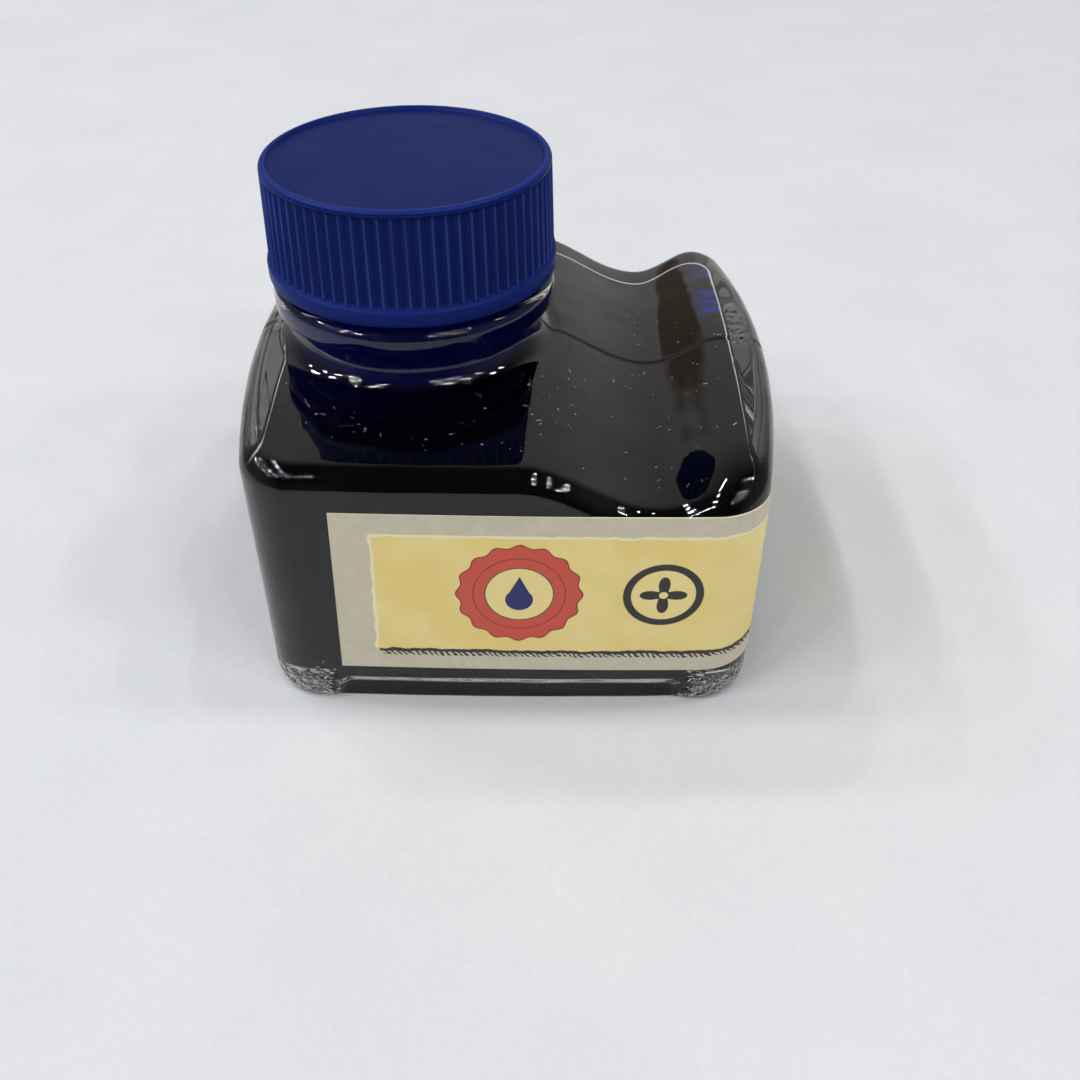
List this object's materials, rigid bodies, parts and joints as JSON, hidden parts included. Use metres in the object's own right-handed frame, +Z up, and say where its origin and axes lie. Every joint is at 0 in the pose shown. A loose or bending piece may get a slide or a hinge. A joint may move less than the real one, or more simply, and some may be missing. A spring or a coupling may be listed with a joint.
{
  "type": "ink bottle",
  "caption": "Glass desk ink bottle with a pen rest moulded into its shoulder, an off-centre threaded neck, a fluted screw cap with a sealing disc, its ink and a paper label.",
  "frame": {"origin": "under the middle of the bottle's body, on the surface it stands on", "axes": "+Z up along the neck, the label faces -Y, the neck is towards -X and the pen rest towards +X"},
  "size_m": [0.0626, 0.0616, 0.0555],
  "materials": {
    "glass": "clear, fire-polished, with a faint grey-green cast",
    "ink": "near-black royal blue liquid",
    "cap_plastic": "satin moulded, navy blue",
    "liner_foam": "smooth closed-cell foam, stained by ink",
    "label_paper": "coated paper, printed"
  },
  "bodies": {
    "bottle": {"glass_bottle": "glass", "ink": "ink", "label": "label_paper"},
    "seal": {"cap_liner": "liner_foam"},
    "cap": {"screw_cap": "cap_plastic"}
  },
  "joints": [
    {"name": "cap_rise", "type": "slide", "parent": "bottle", "child": "seal", "axis": [0, 0, 1], "range_m": [0, 0.018]},
    {"name": "cap_twist", "type": "hinge", "parent": "seal", "child": "cap", "pos_m": [-0.0115, 0, 0.0428], "axis": [0, 0, 1], "range_deg": [0, 1800]}
  ],
  "couplings": [
    {"joint": "cap_rise", "follows": "cap_twist", "m_per_rad": 0.00057295}
  ]
}
